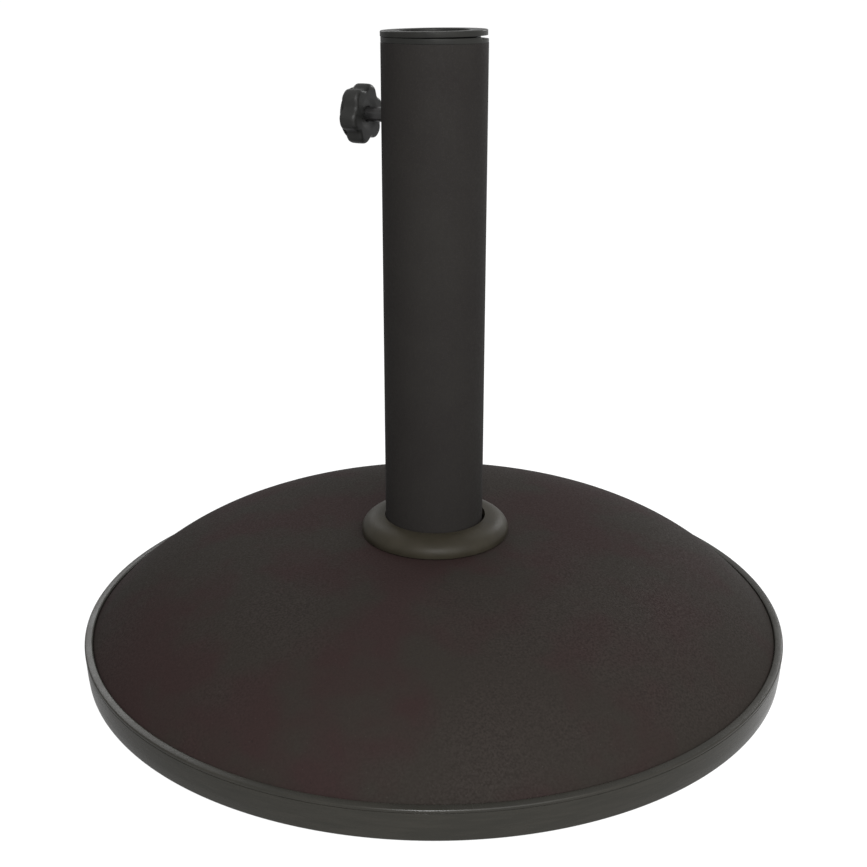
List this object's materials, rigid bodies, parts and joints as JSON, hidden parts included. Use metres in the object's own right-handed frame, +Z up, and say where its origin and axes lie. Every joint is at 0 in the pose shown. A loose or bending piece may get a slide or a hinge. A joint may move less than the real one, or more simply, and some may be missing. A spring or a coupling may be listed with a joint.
{
  "type": "parasol base",
  "caption": "Round cast parasol base in a lipped tray, with an upright pole tube, a flared collar, a reducer ring in the mouth and a star-knob clamp screw.",
  "frame": {"origin": "on the floor, under the centre of the pole tube", "axes": "+Z up along the pole tube, -Y towards the front view, and +X to that view's right; the clamp screw points to -X, turned 27.7 degrees towards +Y"},
  "size_m": [0.506, 0.506, 0.434],
  "materials": {
    "coated_concrete": "matte",
    "tray_plastic": "satin",
    "foot_rubber": "matte",
    "coated_steel": "satin",
    "collar_plastic": "satin",
    "fitting_plastic": "satin",
    "knob_plastic": "satin",
    "zinc_steel": "satin",
    "black_steel": "satin"
  },
  "bodies": {
    "base": {"weight_block": "coated_concrete", "base_tray": "tray_plastic", "foot_pad_1": "foot_rubber", "foot_pad_2": "foot_rubber", "foot_pad_3": "foot_rubber", "foot_pad_4": "foot_rubber", "foot_pad_5": "foot_rubber", "foot_pad_6": "foot_rubber", "anchor_plate": "black_steel", "socket_sleeve": "black_steel", "pole_tube": "coated_steel", "tube_end_plate": "black_steel", "fixing_bolt": "zinc_steel", "lock_washer": "zinc_steel", "flat_washer": "zinc_steel", "tube_liner": "fitting_plastic", "clamp_nut": "coated_steel"},
    "collar": {"collar": "collar_plastic"},
    "reducer": {"reducer_ring": "fitting_plastic"},
    "clamp_pad": {"pressure_pad": "fitting_plastic"},
    "clamp_screw": {"clamp_stud": "black_steel", "clamp_knob": "knob_plastic"}
  },
  "joints": [
    {"name": "collar_slide", "type": "slide", "parent": "base", "child": "collar", "axis": [0, 0, 1], "range_m": [0, 0.255]},
    {"name": "reducer_lift", "type": "slide", "parent": "base", "child": "reducer", "axis": [0, 0, 1], "range_m": [0, 0.045]},
    {"name": "pad_slide", "type": "slide", "parent": "base", "child": "clamp_pad", "axis": [0.8854, -0.4648, 0], "range_m": [-0.0103, 0]},
    {"name": "knob_turn", "type": "hinge", "parent": "clamp_pad", "child": "clamp_screw", "pos_m": [0, 0, 0.3782], "axis": [0.8854, -0.4648, 0], "range_deg": [-2472, 0]}
  ],
  "couplings": [
    {"joint": "pad_slide", "follows": "knob_turn", "m_per_rad": 0.00023873}
  ]
}
